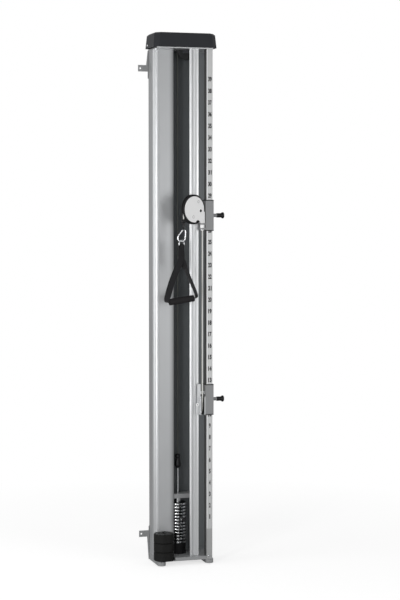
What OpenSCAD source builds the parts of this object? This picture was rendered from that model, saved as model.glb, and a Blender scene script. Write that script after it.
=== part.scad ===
// Wall-mounted cable column with a round weight stack, a guide rail and two sliding pulley carriages.
// Millimetres, +Z up, the front faces -Y. X counts from the left edge of the base and Y from its
// front edge; place() then moves the whole to the middle of its outline, on the floor.

/* [Base] */
// Width of the base
base_w = 250; // [235:1:300]
// Depth from the front of the base to the wall
base_d = 148; // [146:1:180]
// Width of a floor runner
runner_w = 34; // [24:1:34]
// Height of a floor runner
runner_h = 16; // [10:1:24]
// Wall of a floor runner
runner_wall = 2.5; // [1.5:0.5:4]
// Length of the nose on the front plug of a runner
plug_nose = 10; // [4:1:14]
// Thickness of the base plate
base_t = 3; // [2:0.5:5]
// Height of the raised deck over the base plate
sill_h = 12; // [8:1:16]
// Height of the rubber pads
pad_h = 3; // [2:0.5:6]
// Diameter of the rubber pads
pad_d = 24; // [16:1:28]

/* [Column] */
// Height of the column over the base plate
column_h = 2214; // [2150:1:2400]
// Thickness of the back panel
panel_t = 4; // [3:0.5:6]
// Width of the left cover
cover_w = 93; // [88:1:95]
// Depth of the left cover, from the wall
cover_d = 76; // [75:1:78]
// Wall of the left cover
cover_wall = 2; // [1.5:0.25:2.5]
// Radius of the left cover's outer corner
cover_r = 28; // [20:1:40]
// Radius of the left cover's inner edge
lip_r = 3; // [3:0.5:5]
// Left side of the front rib
rib_x = 150; // [146:1:154]
// Width of the front rib
rib_w = 40.5; // [36:0.5:41]
// Distance of the rib's face behind the front of the base
rib_y = 20; // [18:1:26]
// Wall of the rib
rib_wall = 2.5; // [2:0.5:3.5]
// Width of the rib's left bead
bead_w = 15; // [12:1:18]
// Height of the rib's left bead
bead_h = 4; // [2:0.5:5]
// Width of the valley beside the bead
groove_w = 6; // [3:0.5:8]
// Overhang of the back panel at the right
panel_over = 13; // [0:1:14]

/* [Wall brackets] */
// Thickness of a wall bracket
bracket_t = 3; // [2:0.5:5]
// Reach of the left ears
ear_left = 46.5; // [40:0.5:60]
// Reach of the right ears
ear_right = 40; // [36:0.5:50]
// Height of an ear
ear_h = 28; // [22:1:36]
// Drop from the column's top to the middle of the upper ears
ear_drop = 77; // [66:1:96]
// Middle of the lower ears over the floor
ear_low_z = 118; // [95:1:130]
// Diameter of a wall bolt hole
ear_hole_d = 8; // [6:0.5:10]

/* [Rail] */
// Left side of the guide rail
rail_x = 218; // [217:0.5:219]
// Width of the guide rail
rail_w = 28; // [24:0.5:29]
// Depth of the guide rail
rail_d = 30; // [24:1:32]
// Wall of the guide rail
rail_wall = 2.5; // [2:0.5:3.5]
// Distance between the holes
hole_pitch = 50; // [50:1:52]
// Number of holes
hole_count = 39; // [39:1:40]
// Height of the lowest hole
hole_z = 222; // [205:1:230]
// Diameter of a rail hole
hole_d = 9; // [8.8:0.1:11]
// Thickness of the scale strip
strip_t = 0.6; // [0.4:0.1:1]
// Width of the scale strip
strip_w = 24; // [16:0.5:24]
// Lower end of the scale strip
strip_z = 154; // [120:1:165]

/* [Top cap] */
// Height of the cap
cap_h = 62; // [58:1:80]
// Overhang of the cap at the left
cap_left = 13; // [8:1:16]
// Overhang of the cap at the right
cap_right = 19; // [16:1:24]
// Overhang of the cap at the front
cap_front = 4; // [2:1:10]
// Size of the cut front corners
cap_cut = 20; // [8:1:26]
// Draft of the cap from its rim to its top
cap_draft = 5; // [2:1:8]
// Wall of the cap
cap_wall = 3; // [2:0.5:4]
// Thickness of the top plate
top_t = 5; // [3:0.5:8]

/* [Weight stack] */
// Middle of the stack from the left
stack_x = 118.5; // [118:0.5:122]
// Middle of the stack from the wall
stack_in = 45; // [45:0.5:45.5]
// Diameter of a weight plate
plate_d = 74; // [60:1:74]
// Height from plate to plate
plate_pitch = 14; // [12:0.5:15]
// Gap between plates
plate_gap = 0.3; // [0.3:0.1:0.6]
// Bevel on the rim of a plate
plate_bevel = 3; // [1:0.5:4]
// Number of plates
plate_count = 13; // [10:1:13]
// Number of plates over the selector pin, with the one it holds
picked = 5; // [2:1:8]
// Height of the rubber bumper
bumper_h = 45; // [30:1:52]
// Diameter of the selector rod
selector_d = 16; // [14:0.5:18]
// Diameter of the selector pin
pick_d = 8; // [6:0.5:9]
// Length of the selector pin's knob
pick_knob_l = 60; // [40:1:62]
// Diameter of the selector pin's knob
pick_knob_d = 17; // [14:1:22]
// Height of the head bar
head_h = 19; // [14:1:26]
// Length of the rod over the head bar
lift_rod_l = 112; // [60:1:160]
// Diameter of the rod over the head bar
lift_rod_d = 8; // [6:0.5:10]
// Diameter of the large ball of the stack's stopper
stop_d = 30; // [24:1:32]

/* [Carriages] */
// Height of a carriage
carriage_h = 134; // [120:1:150]
// Width of a carriage
carriage_w = 36; // [35:0.1:36]
// Depth of a carriage
carriage_d = 42; // [40:0.5:46]
// Space between rail and carriage
carriage_gap = 1.6; // [1.2:0.1:2]
// Height of the plastic ends of a carriage
carriage_end_h = 4; // [3:0.5:8]
// Hole that the upper carriage stands at
upper_hole = 27; // [25:1:30]
// Hole that the lower carriage stands at
lower_hole = 11; // [9:1:13]
// Diameter of a locking pin
lock_d = 8; // [6:0.5:8.4]
// Length of a locking pin's sleeve
sleeve_l = 19; // [12:1:22]
// Diameter of a locking pin's sleeve
sleeve_d = 15; // [13:1:18]
// Length of a locking pin's knob
knob_l = 32; // [24:1:36]
// Largest diameter of a locking pin's knob
knob_d = 27; // [20:1:32]

/* [Cable and pulleys] */
// Diameter of the cable
cable_d = 5; // [4:0.5:6]
// Line of the riser cable from the left
riser_x = 202; // [201.8:0.1:202.5]
// Line of the riser cable from the front
riser_y = 5; // [4:0.5:6]
// Line of the hidden cable from the wall
return_in = 63; // [58:0.5:73]
// Radius of the cable on the swivel pulley
swivel_r = 56; // [46:0.5:58]
// Height of the swivel pulley over its locking pin
swivel_lift = 26; // [22:1:28]
// Angle of the swivel pulley to the left of straight ahead
swivel_aim = 63; // [55:1:68]
// Depth of a pulley's rim outside the middle of the cable
rim = 6; // [4:0.5:7]
// Depth of the swivel pulley's rim
swivel_rim = 8; // [5:0.5:8]
// Thickness of a pulley
wheel_t = 12; // [10:0.5:12.5]
// Gap between a pulley and its cheek
cheek_gap = 1.2; // [0.6:0.1:1.4]
// Thickness of a cheek plate
cheek_t = 3; // [2:0.25:3.2]
// Radius of a swivel cheek
cheek_r = 56; // [50:1:58]
// Diameter of the axles
axle_d = 10; // [8:0.5:14]
// Height of the top pulley's axle over the column
top_wheel_rise = 8; // [2:1:10]
// Height of the lower pulley under its locking pin
lower_drop = 26; // [18:1:30]

/* [Handle] */
// Width of the strap
strap_w = 25; // [20:1:32]
// Thickness of the strap
strap_t = 3; // [2:0.5:4]
// Diameter of the grip
grip_d = 29; // [24:1:34]
// Length of the grip
grip_l = 112; // [100:1:130]
// Tilt of the grip as it hangs
grip_tilt = 8; // [0:1:10]
// Drop from the ring to the middle of the grip
strap_l = 257; // [230:1:280]
// Drop from the ring to the fork of the strap
fork_l = 78; // [60:1:90]
// Length of the snap hook
hook_l = 57; // [52:1:64]
// Width of the snap hook
hook_w = 38; // [36:1:42]
// Lean of the snap hook to the left
hook_lean = 20; // [0:1:24]
// Thickness of the snap hook's wire
wire_d = 6; // [5:0.5:7]

/* [Spare weights] */
// Diameter of a spare weight
spare_d = 88; // [80:1:88]
// Height of a spare weight
spare_h = 39; // [20:1:45]
// Width of the slot in a spare weight
slot_w = 11; // [9:1:16]

/* [Hidden] */
picked_names = [for (i = [1 : picked]) str("weight_plate_", i)];
spare_count = 3;
spare_names = [for (i = [1 : spare_count]) str("spare_weight_", i)];

// Clearances
seat_gap = 0.3;
slide_gap = 0.5;
swing_gap = 0.7;
shaft_gap = 0.05;
skin = 0.01;
more = 1;

// Heights of the frame
base_z = pad_h + runner_h;
deck_z = base_z + base_t;
floor_z = deck_z + sill_h;
column_z = deck_z + column_h;
cap_z = column_z + top_t;
top_z = cap_z + cap_h;
back_y = base_d - bracket_t;
panel_y = back_y - panel_t;
cover_y = base_d - cover_d;
stack_y = base_d - stack_in;
return_y = base_d - return_in;
ear_top_z = column_z - ear_drop;

// Heights of the stack
stack_z = floor_z + bumper_h;
plate_t = plate_pitch - plate_gap;
picked_z = stack_z + (plate_count - picked) * plate_pitch;
plates_top = stack_z + plate_count * plate_pitch;
collar_h = 19;
collar_d = 26;
head_z = plates_top + collar_h;
lift_rod_z = head_z + head_h;
stop_z = lift_rod_z + lift_rod_l;
stop_len = 64;
stack_cable_z = stop_z + stop_len;
pick_z = picked_z + plate_pitch / 2;
bore_gap = 0.5;

// Pulleys
top_wheel_z = column_z + top_wheel_rise;
top_run = [riser_x - stack_x, return_y - stack_y];
top_wheel_r = norm(top_run) / 2;
top_wheel_turn = atan2(top_run[1], top_run[0]);
top_wheel_x = (riser_x + stack_x) / 2;
top_wheel_y = (return_y + stack_y) / 2;
lower_wheel_r = (return_y - riser_y) / 2;
lower_wheel_y = (return_y + riser_y) / 2;
upper_pin_z = hole_z + (upper_hole - 1) * hole_pitch;
lower_pin_z = hole_z + (lower_hole - 1) * hole_pitch;
swivel_z = upper_pin_z + swivel_lift;
lower_wheel_z = lower_pin_z - lower_drop;
cable_split_z = (upper_pin_z + lower_pin_z - hole_pitch) / 2;
cheek_side = wheel_t / 2 + cheek_gap;
groove_r = cable_d / 2 + seat_gap;

// Carriages
carriage_x = rail_x + rail_w / 2 - carriage_w / 2;
carriage_y = rail_d / 2 - carriage_d / 2 + 1;
carriage_side = carriage_x + carriage_w;
parked = 0.4;
lock_travel = 10;

// Handle
drop_s = 2 * swivel_r;
drop_x = riser_x - drop_s * sin(swivel_aim);
drop_y = riser_y - drop_s * cos(swivel_aim);
pull_cable_l = 42;
ball_d = 23;
ball_h = 16;
link_l = 27;
hook_top_z = swivel_z - pull_cable_l - ball_h - link_l;
ring_wire = 5;
core_d = 20;
strap_end = grip_l / 2 + 11;

// The snap hook: a pear of wire that hangs from its upper arc and leans to the left
hook_turn = -17;
hook_low_r = (hook_w - wire_d) / 2;
hook_top_r = 9;
hook_low = hook_l - wire_d - hook_low_r;
hang = hook_low - hook_top_r;
hang_z = hook_top_z - wire_d / 2 - hook_top_r - hang * cos(hook_lean) - hook_low_r;
strap_x = drop_x - hang * sin(hook_lean) * cos(hook_turn);
strap_y = drop_y - hang * sin(hook_lean) * sin(hook_turn);

// The outline of the whole, which places it on the floor
knob_tip = carriage_side + sleeve_l + knob_l;
front_tip = min(drop_y - ball_d / 2, strap_y - max(grip_d, strap_w) / 2);
middle_x = (knob_tip - ear_left) / 2;
middle_y = (back_y + bracket_t + front_tip) / 2;

steel = [0.62, 0.63, 0.64];
light_steel = [0.78, 0.79, 0.8];
chrome = [0.86, 0.87, 0.88];
anodised = [0.68, 0.69, 0.7];
rib_grey = [0.76, 0.77, 0.78];
panel_grey = [0.36, 0.38, 0.39];
cap_grey = [0.19, 0.2, 0.22];
black = [0.07, 0.07, 0.07];
plate_white = [0.9, 0.9, 0.9];
cable_grey = [0.8, 0.79, 0.74];
iron = [0.15, 0.15, 0.14];

module place() {
    translate([-middle_x, -middle_y, 0]) children();
}

// A box between two corners
module block(low, high) {
    translate(low) cube(high - low);
}

// A round bar along X, from a point
module bar_x(p, d, l) {
    translate(p) rotate([0, 90, 0]) cylinder(d = d, h = l, $fn = 48);
}

// A round bar towards +Y, from a point
module bar_y(p, d, l) {
    translate(p) rotate([-90, 0, 0]) cylinder(d = d, h = l, $fn = 48);
}

module bar_z(p, d, l) {
    translate(p) cylinder(d = d, h = l, $fn = 48);
}

// A ring between two radii in the XY plane
module tube_z(p, outer, inner, l) {
    translate(p) difference() {
        cylinder(d = outer, h = l, $fn = 64);
        translate([0, 0, -more]) cylinder(d = inner, h = l + 2 * more, $fn = 48);
    }
}

// Floor frame

module runner(x) {
    difference() {
        block([x, 0, pad_h], [x + runner_w, back_y, base_z]);
        block([x + runner_wall, -more, pad_h + runner_wall],
              [x + runner_w - runner_wall, base_d + more, base_z - runner_wall]);
    }
}

module left_runner() {
    color(steel) place() runner(0);
}

module right_runner() {
    color(steel) place() runner(base_w - runner_w);
}

// A plug fills the open end of a runner and ends in a blunt nose
module runner_plug(x) {
    inset = runner_wall;
    plug_in = 22;
    cut = runner_w / 3;
    block([x + inset, 0, pad_h + inset], [x + runner_w - inset, plug_in, base_z - inset]);
    translate([x, 0, pad_h]) linear_extrude(runner_h)
        polygon([[0, 0], [cut, -plug_nose], [runner_w - cut, -plug_nose], [runner_w, 0]]);
}

module runner_plugs() {
    color(steel) place() for (x = [0, base_w - runner_w]) runner_plug(x);
}

module floor_pads() {
    inset_y = 26;
    color(black) place()
        for (x = [runner_w / 2, base_w - runner_w / 2], y = [inset_y, back_y - inset_y])
            bar_z([x, y, 0], pad_d, pad_h);
}

// The outline of the raised deck, drawn in by a margin. It leaves the front left corner to the
// spare weights and the front right corner to the rail.
module deck_outline(margin, back) {
    left_x = spare_x + spare_d / 2 + margin + more;
    rail_side = rail_x - seat_gap - margin;
    rail_back = rail_d + seat_gap + margin;
    cover_front = cover_y + margin;
    polygon([
        [margin, cover_front], [left_x, cover_front], [left_x, margin], [rail_side, margin],
        [rail_side, rail_back], [base_w - margin, rail_back], [base_w - margin, back], [margin, back]
    ]);
}

// A flat plate with the raised deck on it, which is hollow and open at the back
module base_plate() {
    slot_in = 2;
    slot_l = 16;
    slot_y = 4;
    slot_w = 7;
    slot_x = spare_x + spare_d / 2 + slot_in + more;
    color(steel) place() difference() {
        union() {
            block([0, 0, base_z], [base_w, back_y, deck_z]);
            translate([0, 0, deck_z - skin]) linear_extrude(sill_h + skin) deck_outline(0, back_y);
        }
        translate([0, 0, deck_z]) linear_extrude(sill_h - base_t) deck_outline(base_t, back_y + more);
        block([slot_x, slot_y, floor_z - base_t - more],
              [slot_x + slot_l, slot_y + slot_w, floor_z + more]);
    }
}

// Wall brackets: a plate on the wall, with an ear on each side and sloping shoulders.
// The ears lie at height 0, the shoulders run towards +v and the tail towards -v.
top_tail = 30;
low_tail = 20;

module bracket_outline(tail, reach) {
    side = 3;
    shoulder = 10;
    hole_in = 10;
    half = ear_h / 2;
    right = base_w;
    difference() {
        polygon([
            [-side, -half - tail], [-side, -half], [-ear_left, -half], [-ear_left, half],
            [-shoulder, half], [-side, reach], [right + side, reach],
            [right + shoulder, half], [right + ear_right, half], [right + ear_right, -half],
            [right + side, -half], [right + side, -half - tail]
        ]);
        for (x = [hole_in - ear_left, right + ear_right - hole_in])
            translate([x, 0]) circle(d = ear_hole_d, $fn = 48);
    }
}

module wall_bracket_top() {
    color(steel) place() translate([0, base_d, ear_top_z]) rotate([90, 0, 0])
        linear_extrude(bracket_t) bracket_outline(top_tail, ear_drop);
}

module wall_bracket_bottom() {
    color(steel) place() translate([0, back_y, ear_low_z]) rotate([-90, 0, 0])
        linear_extrude(bracket_t) bracket_outline(low_tail, ear_low_z - pad_h);
}

// Column profiles

function arc_points(c, r, a0, a1, n) =
    [for (i = [0 : n]) c + r * [cos(a0 + (a1 - a0) * i / n), sin(a0 + (a1 - a0) * i / n)]];

module back_panel() {
    color(panel_grey) place() block([0, panel_y, floor_z], [base_w + panel_over, back_y, column_z]);
}

// An open shell: side wall, large corner, flat face and a short inner edge
module left_cover() {
    steps = 8;
    w = cover_wall;
    corner = [cover_r, cover_y + cover_r];
    edge = [cover_w - lip_r, cover_y + lip_r];
    outline = concat(
        [[0, panel_y]], arc_points(corner, cover_r, 180, 270, steps),
        arc_points(edge, lip_r, 270, 360, steps),
        arc_points(edge, lip_r - w, 360, 270, steps),
        arc_points(corner, cover_r - w, 270, 180, steps), [[w, panel_y]]);
    color(anodised) place() translate([0, 0, floor_z])
        linear_extrude(column_z - floor_z) polygon(outline);
}

web_x = rib_x + rib_w - rib_wall;

// A rounded bead on the rib's flange, from a point on its face, in the XY plane
module bead(x, y, w, h) {
    r = (w * w / 4 + h * h) / (2 * h);
    intersection() {
        translate([x + w / 2, y - h + r]) circle(r, $fn = 96);
        translate([x, y - h]) square([w, h + skin]);
    }
}

// A flange with two beads down its face, and a web back to the panel at its right edge
module front_rib() {
    flange_y = rib_y + bead_h;
    right_x = rib_x + bead_w + groove_w;
    right_h = bead_h * 0.4;
    window = 24;
    color(rib_grey) place() difference() {
        translate([0, 0, floor_z]) linear_extrude(column_z - floor_z) union() {
            translate([rib_x, flange_y]) square([rib_w, rib_wall]);
            bead(rib_x, flange_y, bead_w, bead_h);
            bead(right_x, flange_y, rib_x + rib_w - right_x, right_h);
            translate([web_x, flange_y + skin]) square([rib_wall, panel_y - flange_y - skin]);
        }
        block([web_x - more, top_wheel_y - window, top_wheel_z - 2 * top_wheel_r],
              [web_x + rib_wall + more, top_wheel_y + window, column_z + more]);
    }
}

// A square tube with a row of holes in its right wall
module guide_rail() {
    foot_z = deck_z + 12;
    color(light_steel) place() difference() {
        block([rail_x, 0, deck_z], [rail_x + rail_w, rail_d, column_z]);
        block([rail_x + rail_wall, rail_wall, deck_z - more],
              [rail_x + rail_w - rail_wall, rail_d - rail_wall, column_z + more]);
        for (i = [0 : hole_count - 1])
            bar_x([rail_x + rail_w - rail_wall - more, rail_d / 2, hole_z + i * hole_pitch],
                  hole_d, rail_wall + 2 * more);
        bar_y([rail_x + rail_w / 2, -more, foot_z], screw_hole, rail_wall + 2 * more);
    }
}

module scale_strip() {
    x = rail_x + (rail_w - strip_w) / 2;
    color(light_steel) place() block([x, -strip_t, strip_z], [x + strip_w, 0, column_z - more]);
}

module top_plate() {
    front = 3;
    slot_l = 2 * (top_wheel_r + rim) + 6;
    slot_w = 2 * (cheek_side + cheek_t + slide_gap);
    color(light_steel) place() difference() {
        block([0, front, column_z], [base_w, base_d, cap_z]);
        translate([top_wheel_x, top_wheel_y, column_z - more]) rotate([0, 0, top_wheel_turn])
            translate([-slot_l / 2, -slot_w / 2, 0]) cube([slot_l, slot_w, top_t + 2 * more]);
    }
}

// A layer of the cap: its outline drawn in by a margin, at a height
module cap_layer(margin, z, h) {
    x0 = margin - cap_left;
    x1 = base_w + cap_right - margin;
    y0 = margin - cap_front;
    y1 = base_d - margin;
    translate([0, 0, z]) linear_extrude(h) polygon([
        [x0, y0 + cap_cut], [x0 + cap_cut, y0], [x1 - cap_cut, y0], [x1, y0 + cap_cut],
        [x1, y1], [x0, y1]
    ]);
}

module cap_form(wall, from, to) {
    bend = 7;
    hull() {
        cap_layer(wall, from, skin);
        cap_layer(cap_draft + wall, to - bend, skin);
        cap_layer(cap_draft + bend + wall, to - skin, skin);
    }
}

screw_hole = 6;
cap_screw_y = 114;
cap_screw_z = cap_z + 13;

// A hollow cap on four posts, held by a screw at each side
module top_cap() {
    post = 12;
    color(cap_grey) place() difference() {
        union() {
            difference() {
                cap_form(0, cap_z, top_z);
                cap_form(cap_wall, cap_z - more, top_z - cap_wall);
            }
            for (x = [post / 2, base_w - 1.5 * post], y = [2 * post, base_d - 2 * post])
                block([x, y, cap_z], [x + post, y + post, top_z - cap_wall + skin]);
        }
        for (x = [-cap_left - more, base_w + cap_right - 2 * cap_wall])
            bar_x([x, cap_screw_y, cap_screw_z], screw_hole, 2 * cap_wall + more);
    }
}

// Button-head screws: one at the rail's foot and one at each side of the cap
module button_screw(d) {
    head_d = 1.8 * d;
    head_h = 0.55 * d;
    shank = 3;
    rotate_extrude($fn = 48) polygon([
        [0, -shank], [d / 2, -shank], [d / 2, 0], [head_d / 2, 0], [head_d / 2 - 0.4, head_h * 0.6],
        [head_d / 2 - 1.6, head_h], [0, head_h]
    ]);
}

module screws() {
    foot_z = deck_z + 12;
    screw_d = screw_hole - seat_gap;
    lean_in = 0.6;
    color(chrome) place() {
        translate([rail_x + rail_w / 2, 0, foot_z]) rotate([90, 0, 0]) button_screw(screw_d);
        translate([lean_in - cap_left, cap_screw_y, cap_screw_z]) rotate([0, -90, 0])
            button_screw(screw_d);
        translate([base_w + cap_right - lean_in, cap_screw_y, cap_screw_z]) rotate([0, 90, 0])
            button_screw(screw_d);
    }
}

// Pulleys

// A grooved wheel with its axis along Z, around the middle of its groove
module wheel(r, rim) {
    hub_d = 26;
    web_t = 5;
    dish_in = 5;
    outer = r + rim;
    rotate_extrude($fn = 128) difference() {
        translate([axle_d / 2 + shaft_gap, -wheel_t / 2])
            square([outer - axle_d / 2 - shaft_gap, wheel_t]);
        translate([r, 0]) circle(groove_r, $fn = 48);
        translate([r, -groove_r]) square([rim + more, 2 * groove_r]);
        for (side = [-1, 1])
            translate([hub_d / 2, side > 0 ? web_t / 2 : -wheel_t / 2 - more])
                square([r - groove_r - dish_in - hub_d / 2, wheel_t / 2 - web_t / 2 + more]);
    }
}

module top_pulley_frame() {
    translate([top_wheel_x, top_wheel_y, top_wheel_z]) rotate([0, 0, top_wheel_turn]) children();
}

// Two angle plates that stand on the top plate, on both sides of its slot
module top_pulley_bracket() {
    half_w = 20;
    above = 14;
    low = column_z - 12 - top_wheel_z;
    foot = 14;
    foot_z = cap_z - top_wheel_z;
    color(light_steel) place() top_pulley_frame() difference() {
        for (side = [0, 1]) mirror([0, side, 0]) {
            translate([-half_w, cheek_side, low]) cube([2 * half_w, cheek_t, above - low]);
            translate([-half_w, cheek_side, foot_z]) cube([2 * half_w, cheek_t + foot, cheek_t]);
        }
        bar_y([0, -2 * wheel_t, 0], axle_d, 4 * wheel_t);
    }
}

module top_pulley() {
    color(black) place() top_pulley_frame() rotate([90, 0, 0]) wheel(top_wheel_r, rim);
}

module top_pulley_axle() {
    width = 2 * (cheek_side + cheek_t);
    color(chrome) place() top_pulley_frame() bar_y([0, -width / 2, 0], axle_d, width);
}

// Weight stack

module stack_frame(z) {
    translate([stack_x, stack_y, z]) children();
}

bore_r = selector_d / 2 + bore_gap;
pick_hole_d = pick_d + 2 * seat_gap;

module weight_plate(i) {
    r = plate_d / 2;
    z = stack_z + (plate_count - i) * plate_pitch;
    stack_frame(z) difference() {
        rotate_extrude($fn = 128) polygon([
            [bore_r, 0], [r - plate_bevel, 0], [r, plate_bevel],
            [r, plate_t - plate_bevel], [r - plate_bevel, plate_t], [bore_r, plate_t]
        ]);
        bar_y([0, -r - more, plate_pitch / 2], pick_hole_d, r);
    }
}

module resting_plates() {
    color(chrome) place() for (i = [picked + 1 : plate_count]) weight_plate(i);
}

module stack_bumper() {
    d = plate_d - 4;
    color(black) place() stack_frame(floor_z) tube_z([0, 0, 0], d, 2 * bore_r, bumper_h);
}

module selector_rod() {
    tip = 8;
    taper = 2;
    r = selector_d / 2;
    color(chrome) place() stack_frame(0) difference() {
        rotate_extrude($fn = 64) polygon([
            [0, stack_z - tip], [r - taper, stack_z - tip], [r, stack_z - tip + taper],
            [r, plates_top], [collar_d / 2, plates_top], [collar_d / 2, head_z], [0, head_z]
        ]);
        for (i = [0 : plate_count - 1])
            bar_y([0, -selector_d, stack_z + (i + 0.5) * plate_pitch], pick_hole_d, 2 * selector_d);
    }
}

// The bar that carries the rod, with a guide shoe at each end against the panel
module head_bar() {
    front = cover_y + lip_r + 4;
    back = panel_y - slide_gap;
    shoe = 15;
    shoe_y = back - 10;
    left = cover_w - shoe;
    right = web_x - slide_gap;
    color(steel) place() difference() {
        union() {
            block([left, front, head_z], [right, shoe_y + skin, lift_rod_z]);
            for (x = [left, right - shoe])
                block([x, shoe_y, head_z], [x + shoe, back, lift_rod_z]);
        }
        bar_z([stack_x, stack_y, head_z + head_h / 2], lift_rod_d, head_h);
    }
}

module lift_rod() {
    color(chrome) place()
        bar_z([stack_x, stack_y, head_z + head_h / 2], lift_rod_d, head_h / 2 + lift_rod_l);
}

// A pear-shaped stopper with a smaller ball on it
module stack_stopper() {
    r = stop_d / 2;
    small = stop_d * 0.8;
    pear_h = stop_len - small * 0.9;
    neck = r * 0.62;
    color(black) place() stack_frame(stop_z) rotate_extrude($fn = 64) intersection() {
        union() {
            translate([0, r]) circle(r, $fn = 64);
            polygon([[0, r], [r, r], [neck, pear_h + 1], [0, pear_h + 1]]);
            translate([0, stop_len - small / 2]) circle(d = small, $fn = 64);
        }
        square([stop_d, stop_len]);
    }
}

module selector_pin() {
    tip_y = stack_y - selector_d / 2 + 1;
    knob_y = stack_y - plate_d / 2 - more;
    end_y = knob_y - pick_knob_l;
    color(black) place() {
        bar_y([stack_x, knob_y - more, pick_z], pick_d, tip_y - knob_y + more);
        translate([stack_x, knob_y, pick_z]) rotate([90, 0, 0]) rotate_extrude($fn = 64) polygon([
            [0, 0], [pick_knob_d * 0.4, 0], [pick_knob_d * 0.36, pick_knob_l * 0.5],
            [pick_knob_d * 0.5, pick_knob_l * 0.8], [pick_knob_d * 0.44, pick_knob_l],
            [0, pick_knob_l]
        ]);
    }
}

// Carriages

// The walls of a carriage between two heights, with a given space around the rail
module carriage_walls(z0, z1, gap) {
    difference() {
        block([carriage_x, carriage_y, z0], [carriage_side, carriage_y + carriage_d, z1]);
        block([rail_x - gap, -strip_t - gap, z0 - more],
              [rail_x + rail_w + gap, rail_d + gap, z1 + more]);
    }
}

module carriage(z) {
    half = carriage_h / 2;
    pin_bore = lock_d + 2 * seat_gap;
    difference() {
        union() {
            carriage_walls(z - half + carriage_end_h, z + half - carriage_end_h, carriage_gap);
            bar_x([carriage_side - skin, rail_d / 2, z], sleeve_d, sleeve_l + skin);
        }
        bar_x([rail_x + rail_w + carriage_gap / 2, rail_d / 2, z], pin_bore, sleeve_l + carriage_w);
    }
}

module carriage_ends(z) {
    half = carriage_h / 2;
    for (side = [-1, 1])
        carriage_walls(z + (side > 0 ? half - carriage_end_h : -half),
                       z + (side > 0 ? half : -half + carriage_end_h), slide_gap);
}

// The pin, drawn back clear of the rail, and its flared knob, whose skirt goes over the sleeve
module lock_pin(z) {
    start = rail_x + rail_w + parked;
    knob_x = carriage_side + sleeve_l + slide_gap;
    skirt_d = sleeve_d + 4;
    skirt_in = lock_travel + more;
    color(black) place() translate([0, rail_d / 2, z]) {
        bar_x([start, 0, 0], lock_d, knob_x + skirt_in - start + more);
        translate([knob_x, 0, 0]) rotate([0, 90, 0]) difference() {
            rotate_extrude($fn = 64) polygon([
                [0, 0], [skirt_d / 2, 0], [skirt_d / 2, knob_l * 0.62], [knob_d / 2, knob_l * 0.78],
                [knob_d / 2, knob_l * 0.92], [knob_d / 2 - 2, knob_l - slide_gap], [0, knob_l - slide_gap]
            ]);
            bar_z([0, 0, -more], sleeve_d + 1, skirt_in + more);
        }
    }
}

lug_top = -59;
lug_h = 7;
lug_low = -87;
lug_d = 24;
pivot_d = 14;

// Two lugs on the left of the upper carriage carry the hollow pivot of the swivel pulley
module upper_carriage() {
    color(steel) place() difference() {
        union() {
            carriage(upper_pin_z);
            for (z = [lug_top - lug_h, lug_low]) {
                bar_z([riser_x, riser_y, swivel_z + z], lug_d, lug_h);
                block([riser_x, riser_y - lug_d / 2, swivel_z + z],
                      [carriage_x + skin, riser_y + lug_d / 2, swivel_z + z + lug_h]);
            }
        }
        bar_z([riser_x, riser_y, swivel_z + lug_low - more], pivot_d, lug_top - lug_low + 2 * more);
    }
}

module upper_carriage_ends() {
    color(black) place() carriage_ends(upper_pin_z);
}

module upper_lock_pin() {
    lock_pin(upper_pin_z);
}

module lower_carriage() {
    color(steel) place() carriage(lower_pin_z);
}

module lower_carriage_ends() {
    color(black) place() carriage_ends(lower_pin_z);
}

module lower_lock_pin() {
    lock_pin(lower_pin_z);
}

// Swivel pulley, in its own frame: +X points outwards from the riser cable, which is its pivot

module swivel_frame() {
    translate([riser_x, riser_y, swivel_z]) rotate([0, 0, 270 - swivel_aim]) children();
}

yoke_top = -48;
yoke_h = 11;

yoke_in = 4.5;
axle_in = 1.5;

// One cheek in the XZ plane: a disc with a tab down to the yoke and a round notch beside it
module cheek_outline() {
    notch_r = 13;
    tab = 10;
    difference() {
        union() {
            translate([swivel_r, 0]) circle(cheek_r, $fn = 128);
            polygon([
                [-yoke_in, yoke_top - yoke_h], [-yoke_in, -tab], [swivel_r, 0],
                [2 * tab, yoke_top - yoke_h]
            ]);
        }
        translate([3.6 * tab, yoke_top - yoke_h]) circle(notch_r, $fn = 48);
        translate([2.1 * tab, -tab / 2]) circle(d = tab, $fn = 48);
    }
}

// Two cheeks on a yoke, with the hollow pivot below it. The axle sits in blind bores.
module swivel_cheeks() {
    tab = 10;
    axle_half = cheek_side + axle_in;
    rivet_at = [[33.4, 33], [63, -32]];
    color(plate_white) place() swivel_frame() difference() {
        union() {
            for (side = [-1, 1])
                translate([0, side > 0 ? cheek_side + cheek_t : -cheek_side, 0]) rotate([90, 0, 0])
                    linear_extrude(cheek_t) cheek_outline();
            translate([-yoke_in, -cheek_side - skin, yoke_top - yoke_h])
                cube([yoke_in + tab, 2 * cheek_side + 2 * skin, yoke_h]);
            bar_z([0, 0, lug_low - 4], pivot_d - 2 * shaft_gap, yoke_top - lug_low);
            bar_z([0, 0, lug_low + lug_h + seat_gap], lug_d - 5,
                  lug_top - lug_low - 2 * lug_h - 2 * seat_gap);
            for (p = rivet_at) bar_y([p[0], cheek_side + cheek_t - skin, p[1]], 7, 1.5);
        }
        bar_z([0, 0, lug_low - 2 * tab], cable_d + 3, -lug_low + tab);
        bar_y([swivel_r, -axle_half, 0], axle_d, 2 * axle_half);
    }
}

module swivel_pulley() {
    color(black) place() swivel_frame() translate([swivel_r, 0, 0]) rotate([90, 0, 0])
        wheel(swivel_r, swivel_rim);
}

module swivel_pulley_axle() {
    width = 2 * (cheek_side + axle_in);
    color(chrome) place() swivel_frame()
        bar_y([swivel_r, -width / 2, 0], axle_d, width);
}

// Lower pulley, in the plane of the riser and the hidden cable

module lower_frame() {
    translate([riser_x, lower_wheel_y, lower_wheel_z]) rotate([0, 0, 90]) children();
}

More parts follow.
